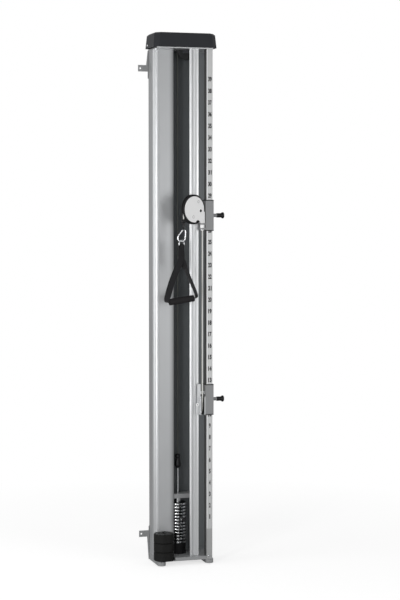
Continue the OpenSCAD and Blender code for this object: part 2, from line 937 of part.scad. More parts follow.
// Cheeks bolted to the left of the lower carriage, with a guard plate before the rib
module lower_pulley_bracket() {
    half_l = lower_wheel_r + rim + 2;
    above = lower_pin_z + carriage_h / 2 - lower_wheel_z;
    below = 40;
    guard_x = rib_x + rib_w - 10;
    guard_low_x = rib_x + rib_w - 16;
    guard_t = 3;
    guard_y = rib_y - 8;
    bridge_z = 50;
    bridge_h = 12;
    left = riser_x - cheek_side - cheek_t;
    z = lower_wheel_z;
    module cheek(x0, x1) {
        difference() {
            block([x0, lower_wheel_y - half_l, z - below], [x1, lower_wheel_y + half_l, z + below]);
            bar_x([x0 - more, lower_wheel_y, z], axle_d, x1 - x0 + 2 * more);
        }
    }
    color(light_steel) place() {
        cheek(left, riser_x - cheek_side);
        cheek(riser_x + cheek_side, carriage_x);
        difference() {
            union() {
                block([guard_low_x, guard_y - guard_t, z - below], [left + skin, guard_y, z + 14]);
                block([guard_x, guard_y - guard_t, z + 14 - skin], [left + skin, guard_y, z + above]);
                block([left, guard_y - guard_t, z - below], [left + cheek_t, guard_y, z + above]);
                block([left, guard_y - guard_t, z + bridge_z],
                      [carriage_x, guard_y, z + bridge_z + bridge_h]);
            }
            bar_y([guard_low_x, guard_y - guard_t - more, z + 16], 14, guard_t + 2 * more);
        }
    }
}

module lower_pulley() {
    color(black) place() lower_frame() rotate([90, 0, 0]) wheel(lower_wheel_r, rim);
}

module lower_pulley_axle() {
    width = carriage_x - riser_x + cheek_side + cheek_t;
    left = riser_x - cheek_side - cheek_t;
    color(chrome) place() bar_x([left, lower_wheel_y, lower_wheel_z], axle_d, width);
}

// Cable

module cable_run(x, y, z0, z1) {
    color(cable_grey) place() bar_z([x, y, z0], cable_d, z1 - z0);
}

// Half a turn of cable around +Z's upper side of the XZ plane
module cable_half_turn(r) {
    rotate([90, 0, 0]) rotate_extrude(angle = 180, $fn = 128) translate([r, 0])
        circle(d = cable_d, $fn = 32);
}

module top_cable_bend() {
    color(cable_grey) place() top_pulley_frame() cable_half_turn(top_wheel_r);
}

module stack_cable() {
    cable_run(stack_x, stack_y, stack_cable_z, top_wheel_z);
}

module return_cable() {
    cable_run(riser_x, return_y, lower_wheel_z, top_wheel_z);
}

module riser_cable_low() {
    cable_run(riser_x, riser_y, lower_wheel_z, cable_split_z);
}

module riser_cable_high() {
    cable_run(riser_x, riser_y, cable_split_z, swivel_z);
}

module lower_cable_bend() {
    color(cable_grey) place() lower_frame() mirror([0, 0, 1]) cable_half_turn(lower_wheel_r);
}

module swivel_cable_bend() {
    color(cable_grey) place() swivel_frame() translate([swivel_r, 0, 0]) cable_half_turn(swivel_r);
}

module pull_cable() {
    cable_run(drop_x, drop_y, swivel_z - pull_cable_l, swivel_z);
}

// Handle

module hook_frame() {
    translate([drop_x, drop_y, hook_top_z - wire_d / 2 - hook_top_r])
        rotate([0, 0, hook_turn]) rotate([0, hook_lean, 0]) translate([0, 0, hook_top_r]) children();
}

eye_r = 7;
eye_wire = 5;
ring_turn = 30;
ring_bow_r = (strap_w + ring_wire) / 2 + slide_gap;
ring_bow_z = hang_z + wire_d / 2 + ring_wire / 2 + swing_gap;
ring_bar = ring_bow_r + 4;

// A round bar between two points of the XZ plane
module wire_xz(a, b, d) {
    run = b - a;
    translate([a[0], 0, a[1]]) rotate([0, 90 - atan2(run[1], run[0]), 0])
        cylinder(d = d, h = norm(run), $fn = 32);
}

// Part of a ring in the XZ plane
module arc_xz(c, r, from, to, d) {
    translate([c[0], 0, c[1]]) rotate([90, 0, 0]) rotate([0, 0, from])
        rotate_extrude(angle = to - from, $fn = 64) translate([r, 0]) circle(d = d, $fn = 24);
}

// A ball at the end of the cable, with a link and an eye for the snap hook
module handle_stopper() {
    ball_z = swivel_z - pull_cable_l - ball_h;
    eye_z = hook_top_z - wire_d - eye_wire / 2 - seat_gap + eye_r;
    neck_z = eye_z + eye_r;
    color(black) place() translate([drop_x, drop_y, 0]) {
        translate([0, 0, ball_z]) rotate_extrude($fn = 64) {
            translate([(ball_d - ball_h) / 2, ball_h / 2]) intersection() {
                circle(d = ball_h, $fn = 64);
                translate([0, -ball_h]) square(2 * ball_h);
            }
            square([(ball_d - ball_h) / 2 + skin, ball_h]);
        }
        bar_z([0, 0, neck_z], 9, ball_z + 1 - neck_z);
        translate([0, 0, eye_z]) rotate([0, 0, hook_turn + 90]) rotate([90, 0, 0])
            rotate_extrude($fn = 48) translate([eye_r, 0]) circle(d = eye_wire, $fn = 24);
    }
}

// The snap hook: a pear-shaped wire, open on the right where its gate is. Round knuckles join
// its bends to its straight side, and a rivet marks the gate's axis.
module snap_hook() {
    rivet_l = wire_d + 2;
    knuckle_d = wire_d + 0.2;
    color(chrome) place() hook_frame() {
        arc_xz([0, -hook_top_r], hook_top_r, 0, 180, wire_d);
        arc_xz([0, -hook_low], hook_low_r, 180, 360, wire_d);
        wire_xz([-hook_low_r, -hook_low], [-hook_top_r, -hook_top_r], wire_d);
        for (x = [-1, 1]) {
            translate([x * hook_low_r, 0, -hook_low]) sphere(d = knuckle_d, $fn = 24);
            translate([x * hook_top_r, 0, -hook_top_r]) sphere(d = knuckle_d, $fn = 24);
        }
        bar_y([hook_low_r, -rivet_l / 2, -hook_low], 4, rivet_l);
    }
}

module snap_hook_gate() {
    side_low = [hook_low_r, -hook_low];
    side_top = [hook_top_r, -hook_top_r];
    run = side_top - side_low;
    room = (wire_d / 2 + seat_gap) / norm(run);
    color(chrome) place() hook_frame()
        wire_xz(side_low + run * room, side_top - run * room, wire_d - 1.5);
}

module strap_frame() {
    translate([strap_x, strap_y, ring_bow_z]) children();
}

// A D-ring: its bow hangs in the hook, its bar holds the strap
module handle_ring() {
    color(chrome) place() strap_frame() rotate([0, 0, ring_turn]) {
        arc_xz([0, -ring_bow_r], ring_bow_r, 0, 180, ring_wire);
        for (x = [-ring_bow_r, ring_bow_r]) {
            wire_xz([x, -ring_bow_r], [x, -ring_bar], ring_wire);
            translate([x, 0, -ring_bar]) sphere(d = ring_wire + 2, $fn = 24);
        }
        wire_xz([-ring_bow_r, -ring_bar], [ring_bow_r, -ring_bar], ring_wire);
    }
}

grip_mid = [0, -strap_l];
grip_way = [cos(grip_tilt), sin(grip_tilt)];

// One leg of the strap, from its end beside the grip up to the fork, in flat steps. Its width
// turns from across the grip to the direction of the ring's bar, slowly beside the grip.
module strap_leg(end, turn_low, steps) {
    run = [0, -fork_l] - end;
    lean = 90 - atan2(run[1], run[0]);
    seam = 1;
    ease = 1.6;
    module section(i) {
        p = end + run * i / steps;
        turn = turn_low + (ring_turn - turn_low) * pow(i / steps, ease);
        translate([p[0], 0, p[1]]) rotate([0, lean, 0]) rotate([0, 0, turn])
            cube([strap_w, strap_t, seam], center = true);
    }
    for (i = [1 : steps]) hull() {
        section(i - 1);
        section(i);
    }
    translate([end[0], 0, end[1]]) bar_y([0, -strap_w / 2 - skin, 0], strap_t + 1, strap_w + 2 * skin);
}

// One loop of webbing: around the bar, doubled down to the fork, and through the grip
module handle_strap() {
    loop_r = ring_wire / 2 + strap_t / 2 + slide_gap;
    inner_w = core_d - 2;
    left = grip_mid - strap_end * grip_way;
    right = grip_mid + strap_end * grip_way;
    color(black) place() strap_frame() {
        rotate([0, 0, ring_turn]) {
            translate([-strap_w / 2, 0, -ring_bar]) rotate([0, 90, 0]) difference() {
                cylinder(r = loop_r + strap_t / 2, h = strap_w, $fn = 48);
                translate([0, 0, -more])
                    cylinder(r = loop_r - strap_t / 2, h = strap_w + 2 * more, $fn = 48);
            }
            block([-strap_w / 2, -strap_t, -fork_l - strap_t],
                  [strap_w / 2, strap_t, -ring_bar - loop_r]);
        }
        strap_leg(left, -90, 4);
        strap_leg(right, 90, 2);
        translate([left[0], -inner_w / 2, left[1]]) rotate([0, -grip_tilt, 0])
            translate([0, 0, -strap_t / 2]) cube([2 * strap_end, inner_w, strap_t]);
    }
}

module handle_grip() {
    color(black) place() strap_frame() translate([grip_mid[0], 0, grip_mid[1]])
        rotate([0, 90 - grip_tilt, 0]) translate([0, 0, -grip_l / 2])
            tube_z([0, 0, 0], grip_d, core_d, grip_l);
}

// Spare weights, with a slot that opens towards the cover

spare_x = 33;
spare_y = cover_y - slide_gap - spare_d / 2;

module spare_weight(i) {
    r = spare_d / 2;
    bevel = 2.5;
    hub_d = 18;
    mouth = 3;
    color(iron) place()
        translate([spare_x, spare_y, deck_z + (i - 1) * (spare_h + seat_gap)]) difference() {
            rotate_extrude($fn = 96) polygon([
                [0, 0], [r - bevel, 0], [r, bevel], [r, spare_h - bevel], [r - bevel, spare_h], [0, spare_h]
            ]);
            bar_z([0, 0, -more], hub_d, spare_h + 2 * more);
            translate([0, 0, -more]) linear_extrude(spare_h + 2 * more) polygon([
                [-slot_w / 2, 0], [-slot_w / 2, r - 2 * mouth], [-slot_w / 2 - mouth, r + more],
                [slot_w / 2 + mouth, r + more], [slot_w / 2, r - 2 * mouth], [slot_w / 2, 0]
            ]);
        }
}

left_runner();
right_runner();
runner_plugs();
floor_pads();
base_plate();
wall_bracket_top();
wall_bracket_bottom();
back_panel();
left_cover();
front_rib();
guide_rail();
scale_strip();
top_plate();
top_cap();
screws();
top_pulley_bracket();
top_pulley();
top_pulley_axle();
stack_bumper();
selector_rod();
head_bar();
lift_rod();
stack_stopper();
selector_pin();
upper_carriage();
upper_carriage_ends();
upper_lock_pin();
lower_carriage();
lower_carriage_ends();
lower_lock_pin();
swivel_cheeks();
swivel_pulley();
swivel_pulley_axle();
lower_pulley_bracket();
lower_pulley();
lower_pulley_axle();
top_cable_bend();
stack_cable();
return_cable();
riser_cable_low();
riser_cable_high();
lower_cable_bend();
swivel_cable_bend();
pull_cable();
handle_stopper();
snap_hook();
snap_hook_gate();
handle_ring();
handle_strap();
handle_grip();
resting_plates();
for (i = [1 : picked])
    color(chrome) place() weight_plate(i);
for (i = [1 : spare_count])
    spare_weight(i);
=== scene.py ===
"""Looks of a wall-mounted cable machine, laid out as a Blender add-on and run as a script."""

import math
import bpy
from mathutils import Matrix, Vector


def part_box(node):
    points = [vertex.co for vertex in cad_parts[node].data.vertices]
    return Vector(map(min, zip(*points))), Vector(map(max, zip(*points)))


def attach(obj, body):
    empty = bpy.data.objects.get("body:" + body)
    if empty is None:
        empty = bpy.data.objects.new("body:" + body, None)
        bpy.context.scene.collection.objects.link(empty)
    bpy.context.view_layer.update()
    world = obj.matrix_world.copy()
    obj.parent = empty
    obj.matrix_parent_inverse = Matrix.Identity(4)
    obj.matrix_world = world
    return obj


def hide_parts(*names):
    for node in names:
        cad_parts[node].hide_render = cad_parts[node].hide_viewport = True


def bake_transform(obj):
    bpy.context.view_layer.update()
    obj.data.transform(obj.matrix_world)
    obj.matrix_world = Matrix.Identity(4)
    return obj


bl_info = {
    "name": "Cable machine",
    "version": (1, 0, 0),
    "blender": (4, 5, 0),
    "location": "View3D > Sidebar > Cable machine",
    "description": "Finishes, scale, cables and handle of a wall-mounted cable machine",
    "category": "Object",
}

import bmesh
import bpy
from mathutils import Matrix, Vector

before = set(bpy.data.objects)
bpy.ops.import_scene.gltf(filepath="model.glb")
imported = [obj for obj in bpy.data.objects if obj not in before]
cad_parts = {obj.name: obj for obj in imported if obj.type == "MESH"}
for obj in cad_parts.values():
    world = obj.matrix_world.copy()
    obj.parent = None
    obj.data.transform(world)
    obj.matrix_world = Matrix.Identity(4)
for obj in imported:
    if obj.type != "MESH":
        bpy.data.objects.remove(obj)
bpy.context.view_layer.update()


# Where things are, from the frame's own boxes

def low(node):
    return Vector(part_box(node)[0])


def high(node):
    return Vector(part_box(node)[1])


def middle(node):
    return (low(node) + high(node)) / 2


RISER = Vector((middle("riser_cable_high").x, middle("riser_cable_high").y))
DROP = Vector((middle("pull_cable").x, middle("pull_cable").y))
SWIVEL_Z = high("pull_cable").z
SWIVEL_WAY = Vector((DROP.x - RISER.x, DROP.y - RISER.y, 0)).normalized()
SWIVEL_OUT = Vector((-SWIVEL_WAY.y, SWIVEL_WAY.x, 0))
RISER_TOP = Vector((RISER.x, RISER.y, SWIVEL_Z))
RING_TURN = math.radians(30)
GRIP_TILT = math.radians(8)

# Fittings of the scene alone. A place on the swivel is its reach from the riser and its rise from
# the cable, a face is its distance from the cable's plane, and a head is its radius and height.
RIVET_PLACES = ((0.0334, 0.033), (0.063, -0.032))
RIVET_FACE = 0.0103
RIVET_R = 0.0052
BUSH_PLACE = (0.0205, -0.006)
BUSH_FACE = 0.0102
BUSH_RING_HEAD = (0.0088, 0.0008)
BUSH_HEAD = (0.006, 0.0012)
GUARD_BOLT_XY = (0.0535, -0.0361)
GUARD_BOLT_RISE = 0.0035
GUARD_BOLT_HEAD = (0.007, 0.0018)
GUARD_SOCKET_HEAD = (0.0022, 0.0006)
HEAD_LAP = 0.0001

# Plates that rest below the pin and share one node
RESTING_COUNT = 8

# The scale's numbers: their places on the rail, and the text's own sizes
NUMBER_COUNT = 39
FIRST_NUMBER_Z = 0.207
NUMBER_PITCH = 0.05
NUMBER_SHIFT = 0.002
TEXT_SIZE = 0.03
TEXT_BOLD = 0.0016
INK_LIFT = 0.0002
TWO_DIGITS = 2.15
NARROW_ONE = 0.6

# The cable, and the ring that the strap is sewn around
ROPE_R = 0.0025
ROPE_SIDES = 24
ROPE_INSET = 0.0006
RING_WIRE_R = 0.0025

# The foam grip: how much of its wall its soft ends take, and how far its middle stands out
FOAM_SIDES = 48
FOAM_SOFT_END = 0.45
FOAM_BELLY = 0.0004
RIM_STEPS = 6
BELLY_STEPS = 8


# Shader nodes as Python arithmetic

class Value:
    """A node's output that can be added, multiplied and compared like a number."""

    def __init__(self, paint, socket):
        self.paint = paint
        self.socket = socket

    def math(self, operation, *values):
        inputs = {index: value for index, value in enumerate(values)}
        return self.paint.node("ShaderNodeMath", {"operation": operation}, inputs)

    def __add__(self, other):
        return self.math("ADD", self, other)

    __radd__ = __add__

    def __mul__(self, other):
        return self.math("MULTIPLY", self, other)

    __rmul__ = __mul__

    def __sub__(self, other):
        return self.math("SUBTRACT", self, other)

    def __rsub__(self, other):
        return self.math("SUBTRACT", other, self)

    def __pow__(self, other):
        return self.math("POWER", self, other)

    def __gt__(self, other):
        return self.math("GREATER_THAN", self, other)

    def __lt__(self, other):
        return self.math("LESS_THAN", self, other)

    def sine(self):
        return self.math("SINE", self)

    def size(self):
        return self.math("ABSOLUTE", self)

    def fraction(self):
        return self.math("FRACT", self)

    def clamped(self):
        return self.paint.node("ShaderNodeClamp", {}, {"Value": self})


class Paint:
    """A material under construction, around one Principled shader."""

    def __init__(self, name, colour, roughness, metallic=0.0, specular=0.5):
        self.material = bpy.data.materials.new(name)
        self.material.use_nodes = True
        self.tree = self.material.node_tree
        self.shader = self.tree.nodes["Principled BSDF"]
        self.set("Base Color", (*colour, 1.0))
        self.set("Roughness", roughness)
        self.set("Metallic", metallic)
        self.set("Specular IOR Level", specular)

    def put(self, socket, value):
        if isinstance(value, Value):
            self.tree.links.new(value.socket, socket)
        else:
            socket.default_value = value

    def node(self, kind, settings=None, inputs=None, output=0):
        node = self.tree.nodes.new(kind)
        for key, value in (settings or {}).items():
            setattr(node, key, value)
        for key, value in (inputs or {}).items():
            self.put(node.inputs[key], value)
        return Value(self, node.outputs[output])

    def set(self, name, value):
        self.put(self.shader.inputs[name], value)

    def place(self, kind="Object"):
        node = self.tree.nodes.new("ShaderNodeTexCoord")
        return Value(self, node.outputs[kind])

    def stretched(self, scale):
        return self.node("ShaderNodeMapping", {}, {"Vector": self.place(), "Scale": scale})

    def along(self, axis, kind="Object"):
        parts = self.tree.nodes.new("ShaderNodeSeparateXYZ")
        self.put(parts.inputs[0], self.place(kind))
        return Value(self, parts.outputs[axis])

    def noise(self, where, scale, detail=3.0, rough=0.55):
        return self.node("ShaderNodeTexNoise", {},
                         {"Vector": where, "Scale": scale, "Detail": detail, "Roughness": rough})

    def cells(self, where, scale):
        return self.node("ShaderNodeTexVoronoi", {}, {"Vector": where, "Scale": scale})

    def mix(self, share, first, second):
        return self.node("ShaderNodeMix", {"data_type": "RGBA"}, {0: share, 6: first, 7: second}, 2)

    def bump(self, height, strength, distance):
        self.set("Normal", self.node("ShaderNodeBump", {},
                 {"Strength": strength, "Distance": distance, "Height": height}))


def shade(colour, factor):
    return tuple(min(1.0, channel * factor) for channel in colour)


def opaque(colour, factor=1.0):
    """A colour made darker or lighter, with full alpha."""
    return (*shade(colour, factor), 1.0)


def wandering(paint, colour, share, spread):
    """A colour that wanders by a small share around its written value."""
    return paint.mix(share, opaque(colour, 1 - spread), opaque(colour, 1 + spread))


def varied(paint, colour, share, spread):
    paint.set("Base Color", wandering(paint, colour, share, spread))


# Finishes

def die_lines(paint):
    """Fine lines that the drawing die leaves up a profile."""
    return paint.noise(paint.stretched((900.0, 900.0, 2.0)), 1.0, 4.0, 0.6)


def anodised(name, colour, roughness, metallic=0.65, painted_edge_shade=None):
    """Drawn and anodised profile, whose colour may take painted shade that darkens over a stretch
    of x up to an edge.
    """
    paint = Paint(name, colour, roughness, metallic)
    lines = die_lines(paint)
    clouds = paint.noise(paint.place(), 9.0, 2.0)
    metal = wandering(paint, colour, lines * 0.7 + clouds * 0.3, 0.07)
    # Painted shade: the colour darkens towards the edge, in place of the shading of a face that
    # curves back there.
    if painted_edge_shade:
        edge, reach, dark = painted_edge_shade
        share = ((paint.along(0) - (edge - reach)) * (1 / reach)).clamped()
        metal = paint.mix(share * share, metal, opaque(colour, dark))
    paint.set("Base Color", metal)
    paint.set("Roughness", lines * 0.1 + clouds * 0.06 + (roughness - 0.08))
    paint.bump(lines, 0.06, 0.0004)
    return paint.material


def side_toned(name, colour, wall, painted_light_factor, roughness, metallic):
    """A profile whose left edge, up to a wall's x, has painted light: its colour scaled down for
    painted shade or up for a painted highlight.
    """
    paint = Paint(name, colour, roughness, metallic)
    lines = die_lines(paint)
    metal = wandering(paint, colour, lines, 0.06)
    # Painted light: left of the wall, the colour is scaled by the given factor.
    paint.set("Base Color", paint.mix(paint.along(0) < wall, metal, opaque(colour, painted_light_factor)))
    paint.set("Roughness", lines * 0.1 + (roughness - 0.05))
    paint.bump(lines, 0.06, 0.0004)
    return paint.material


def stack_chrome(name, colour, foot, pitch):
    """Polished plates whose rounded rims catch a highlight each, with painted shade, near black, in
    the grooves between them.
    """
    paint = Paint(name, colour, 0.16, 1.0)
    wipes = paint.noise(paint.stretched((60.0, 60.0, 22.0)), 1.0, 4.0, 0.7)
    phase = ((paint.along(2) - foot) * (1 / pitch)).fraction()
    off = (phase - 0.5).size() * 2
    # Painted shade: near black at the plates' edges, for the shade in the grooves between the
    # plates.
    groove_shade = ((off - 0.62) * 4.0).clamped()
    paint.set("Base Color", paint.mix(groove_shade, opaque(colour), (0.015, 0.017, 0.017, 1.0)))
    paint.set("Roughness", wipes * 0.08 + groove_shade * 0.25 + 0.12)
    paint.bump(off ** 2.5 * -1.0, 1.0, 0.0022)
    return paint.material


def coated_steel(name, colour, roughness=0.38, metallic=0.0):
    """Powder coat: a shallow orange peel and a slightly uneven gloss."""
    paint = Paint(name, colour, roughness, metallic)
    peel = paint.noise(paint.place(), 420.0, 2.0)
    clouds = paint.noise(paint.place(), 14.0, 3.0)
    varied(paint, colour, clouds, 0.05)
    paint.set("Roughness", clouds * 0.12 + (roughness - 0.06))
    paint.bump(peel, 0.12, 0.0004)
    return paint.material


def plated(name, colour, roughness, brushed=0.0):
    """Plated or polished steel, with faint wipe marks or a brushed grain."""
    paint = Paint(name, colour, roughness, 1.0)
    wipes = paint.noise(paint.stretched((60.0, 60.0, 22.0)), 1.0, 4.0, 0.7)
    grain = paint.noise(paint.stretched((1600.0, 1600.0, 60.0)), 1.0, 2.0)
    varied(paint, colour, wipes, 0.05)
    paint.set("Roughness", wipes * 0.12 + grain * brushed + (roughness - 0.05))
    if brushed:
        paint.bump(grain, 0.08, 0.0003)
    return paint.material


def moulded(name, colour, roughness, grain_size=1400.0, depth=0.15):
    """Moulded plastic with a spark-eroded grain."""
    paint = Paint(name, colour, roughness, 0.0, 0.3)
    grain = paint.noise(paint.place(), grain_size, 3.0, 0.7)
    clouds = paint.noise(paint.place(), 18.0, 2.0)
    varied(paint, colour, clouds, 0.12)
    paint.set("Roughness", grain * 0.16 + (roughness - 0.08))
    paint.bump(grain, depth, 0.0003)
    return paint.material


def enamel(name, colour, rivets, reach):
    """White enamel with a faint shadow line around each rivet head."""
    paint = Paint(name, colour, 0.25)
    clouds = paint.noise(paint.place(), 14.0, 3.0)
    white = paint.mix(clouds, opaque(colour, 0.96), opaque(colour, 1.02))
    for rivet in rivets:
        far = paint.node("ShaderNodeVectorMath", {"operation": "DISTANCE"},
                         {0: paint.place(), 1: rivet}, 1)
        ring = (1.0 - ((far - reach).size() * 600.0)).clamped() * 0.9
        white = paint.mix(ring, white, opaque(colour, 0.3))
    paint.set("Base Color", white)
    paint.set("Roughness", clouds * 0.1 + 0.2)
    return paint.material


def foam_rubber(name, colour):
    """Closed-cell foam: small pores under a skin that wears paler."""
    paint = Paint(name, colour, 0.72, 0.0, 0.25)
    pores = paint.cells(paint.place(), 900.0)
    clouds = paint.noise(paint.place(), 45.0, 4.0)
    varied(paint, colour, clouds, 0.25)
    paint.set("Roughness", clouds * 0.15 + 0.62)
    paint.bump(pores, 0.35, 0.0006)
    return paint.material


def painted_iron(name, colour):
    """Cast weights under thick paint: soft lumps and a few pits."""
    paint = Paint(name, colour, 0.5, 0.0, 0.2)
    lumps = paint.noise(paint.place(), 90.0, 4.0, 0.6)
    pits = paint.cells(paint.place(), 260.0) < 0.16
    varied(paint, colour, lumps, 0.2)
    paint.set("Roughness", lumps * 0.2 + 0.4)
    paint.bump(lumps - pits * 0.35, 0.35, 0.001)
    return paint.material


def sheathed_rope(name, colour):
    """Steel rope in a nylon sheath that shows its strands a little."""
    paint = Paint(name, colour, 0.36)
    place = paint.place()
    clouds = paint.noise(paint.stretched((200.0, 200.0, 6.0)), 1.0, 3.0)
    strands = paint.noise(paint.stretched((700.0, 700.0, 90.0)), 1.0, 1.0)
    varied(paint, colour, clouds, 0.1)
    paint.set("Roughness", paint.noise(place, 120.0) * 0.2 + 0.28)
    paint.bump(strands, 0.15, 0.0004)
    return paint.material


def webbing(name, colour, thread):
    """Woven polyester: a twill of threads along and across the strap's own UV map."""
    paint = Paint(name, colour, 0.75, 0.0, 0.2)
    across = paint.along(0, "UV")
    along = paint.along(1, "UV")
    warp = (across * (math.tau / thread)).sine().size()
    weft = (along * (math.tau / (thread * 1.6)) + across * (math.pi / thread)).sine().size()
    weave = warp * 0.5 + weft * 0.5
    fuzz = paint.noise(paint.place(), 700.0, 3.0)
    paint.set("Base Color", paint.mix(weave * 0.7 + fuzz * 0.3,
                                      opaque(colour, 0.55), opaque(colour, 1.7)))
    paint.set("Roughness", weave * -0.15 + 0.85)
    paint.set("Sheen Weight", 0.25)
    paint.set("Sheen Roughness", 0.4)
    paint.bump(weave + fuzz * 0.3, 0.6, 0.0007)
    return paint.material


def ink(name, colour):
    """Screen-printed ink, a little uneven where it covers the metal."""
    paint = Paint(name, colour, 0.55)
    speckle = paint.noise(paint.place(), 900.0, 2.0)
    varied(paint, colour, speckle, 0.3)
    return paint.material


# Modelling helpers

def deselect():
    if bpy.context.object and bpy.context.object.mode != "OBJECT":
        bpy.ops.object.mode_set(mode="OBJECT")
    bpy.ops.object.select_all(action="DESELECT")


def added(name):
    piece = bpy.context.object
    piece.name = name
    piece.data.name = name
    return piece


def select_faces(piece, test):
    """In edit mode, selects the faces whose centre and normal pass a test."""
    mesh = bmesh.from_edit_mesh(piece.data)
    for face in mesh.faces:
        face.select_set(bool(test(face.calc_center_median(), face.normal)))
    mesh.select_flush(True)
    bmesh.update_edit_mesh(piece.data)


def edit(piece):
    deselect()
    piece.select_set(True)
    bpy.context.view_layer.objects.active = piece
    bpy.ops.object.mode_set(mode="EDIT")
    bpy.ops.mesh.select_mode(type="FACE")
    bpy.ops.mesh.select_all(action="DESELECT")


def finish_edit():
    bpy.ops.object.mode_set(mode="OBJECT")


def settle(piece, matrix=None):
    """Moves a piece's place into its mesh, so its object sits at the origin."""
    place = piece.matrix_basis if matrix is None else matrix @ piece.matrix_basis
    piece.data.transform(place)
    piece.matrix_basis = Matrix.Identity(4)
    piece.data.update()


def smooth(piece, angle=35):
    deselect()
    piece.select_set(True)
    bpy.context.view_layer.objects.active = piece
    bpy.ops.object.shade_smooth_by_angle(angle=math.radians(angle))


def paint_piece(piece, material):
    piece.data.materials.clear()
    piece.data.materials.append(material)


def joined(name, parts):
    deselect()
    for part in parts:
        part.select_set(True)
    bpy.context.view_layer.objects.active = parts[0]
    bpy.ops.object.join()
    return added(name)


def finished(name, mesh):
    """Makes a piece of a bmesh, with its faces turned outwards."""
    bmesh.ops.recalc_face_normals(mesh, faces=mesh.faces)
    data = bpy.data.meshes.new(name)
    mesh.to_mesh(data)
    mesh.free()
    piece = bpy.data.objects.new(name, data)
    bpy.context.collection.objects.link(piece)
    return piece


def lathed(name, profile, sides):
    """A closed turned mesh from (radius, height) points that start and end on the axis."""
    mesh = bmesh.new()
    rings = []
    for radius, height in profile:
        if radius == 0:
            rings.append([mesh.verts.new((0, 0, height))])
        else:
            rings.append([mesh.verts.new((radius * math.cos(math.tau * step / sides),
                                          radius * math.sin(math.tau * step / sides), height))
                          for step in range(sides)])
    for first, second in zip(rings, rings[1:]):
        for step in range(sides):
            after = (step + 1) % sides
            corners = [first[step % len(first)], first[after % len(first)],
                       second[after % len(second)], second[step % len(second)]]
            mesh.faces.new(list(dict.fromkeys(corners)))
    return finished(name, mesh)


def stud(name, seat, outward, head, material, body, sides=28, steps=5, wall=0.3):
    """A domed head on a face, whose straight wall takes a share of its height."""
    radius, height = head
    dome = []
    for step in range(steps):
        angle = math.pi / 2 * step / steps
        dome.append((radius * math.cos(angle), height * (wall + (1 - wall) * math.sin(angle))))
    piece = lathed(name, [(0, 0), (radius, 0)] + dome + [(0, height)], sides)
    turn = Vector((0, 0, 1)).rotation_difference(outward).to_matrix().to_4x4()
    settle(piece, Matrix.Translation(seat) @ turn)
    smooth(piece)
    paint_piece(piece, material)
    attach(piece, body)


# Sizes and colours that a user would change

def colour_prop(name, description, default):
    return bpy.props.FloatVectorProperty(name=name, description=description, default=default,
                                         size=3, min=0.0, max=1.0, subtype="COLOR")


def length_prop(name, description, default):
    return bpy.props.FloatProperty(name=name, description=description, default=default,
                                   min=0.0, unit="LENGTH", subtype="DISTANCE")


class FrameLook(bpy.types.PropertyGroup):
    cover: colour_prop("Cover", "Anodised left cover", (0.52, 0.53, 0.54))
    rib: colour_prop("Rib", "Anodised front rib", (0.66, 0.67, 0.68))
    # Painted shade: the back panel is silver anodised like the cover, and its dark colour stands
    # for the shade in the recess.
    panel: colour_prop("Panel", "Back panel in the recess", (0.13, 0.14, 0.145))
    rail: colour_prop("Rail", "Guide rail and scale strip", (0.47, 0.475, 0.475))
    steel: colour_prop("Base and carriages", "Grey coated steel", (0.3, 0.305, 0.31))
    cap: colour_prop("Cap", "Moulded top cap", (0.022, 0.024, 0.028))


class PartsLook(bpy.types.PropertyGroup):
    chrome: colour_prop("Chrome", "Polished plates and rods", (0.6, 0.61, 0.62))
    cheek: colour_prop("Cheeks", "White plates of the swivel pulley", (0.97, 0.97, 0.97))
    black: colour_prop("Black plastic", "Pulleys, knobs and stoppers", (0.008, 0.008, 0.009))
    iron: colour_prop("Spare weights", "Paint of the spare weights", (0.007, 0.007, 0.0066))
    rope: colour_prop("Cable", "Sheath of the riser and pull cable", (0.72, 0.72, 0.68))
    # Painted shade: the stack cable is the same cable as the rest, darker in colour where it runs
    # in the shaded channel.
    stack_rope: colour_prop("Stack cable", "Cable over the stack, in painted shade", (0.075, 0.08, 0.07))


class ScaleLook(bpy.types.PropertyGroup):
    digit_h: length_prop("Digit height", "Height of a number on the scale", 0.0205)
    digit_w: length_prop("Digit width", "Width of one digit on the scale", 0.0074)
    ink: colour_prop("Ink", "Colour of the numbers", (0.012, 0.012, 0.014))


class StrapLook(bpy.types.PropertyGroup):
    width: length_prop("Width", "Width of the webbing", 0.027)
    thickness: length_prop("Thickness", "Thickness of the webbing", 0.003)
    thread: length_prop("Thread", "Distance between threads", 0.0022)
    bar_drop: length_prop("Bar", "Drop from the ring's top to its bar", 0.0195)
    fork_drop: length_prop("Fork", "Drop from the ring's top to the fork", 0.078)
    grip_drop: length_prop("Grip", "Drop from the ring's top to the grip's middle", 0.257)
    bore: length_prop("Bore", "Bore of the foam grip", 0.02)
    colour: colour_prop("Colour", "Colour of the webbing", (0.011, 0.011, 0.012))
    grip: colour_prop("Grip", "Colour of the foam grip", (0.014, 0.013, 0.014))


class StageLook(bpy.types.PropertyGroup):
    azimuth: bpy.props.FloatProperty(name="Azimuth",
                                     description="Camera's direction from the front",
                                     default=math.radians(-17.0), subtype="ANGLE", unit="ROTATION")
    pitch: bpy.props.FloatProperty(name="Pitch", description="Camera's look down",
                                   default=math.radians(3.5), subtype="ANGLE", unit="ROTATION")
    distance: length_prop("Distance", "Camera's distance from its target", 7.0)
    lens: bpy.props.FloatProperty(name="Lens", description="Focal length in millimetres",
                                  default=96.5, min=1.0)


LOOKS = (("cable_frame", FrameLook), ("cable_parts", PartsLook), ("cable_scale", ScaleLook),
         ("cable_strap", StrapLook), ("cable_stage", StageLook))


def give(names, material):
    for name in names:
        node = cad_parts[name]
        for slot in node.material_slots:
            slot.material = material


PLATES = [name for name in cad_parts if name.startswith("weight_plate_")]
SPARES = [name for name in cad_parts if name.startswith("spare_weight_")]


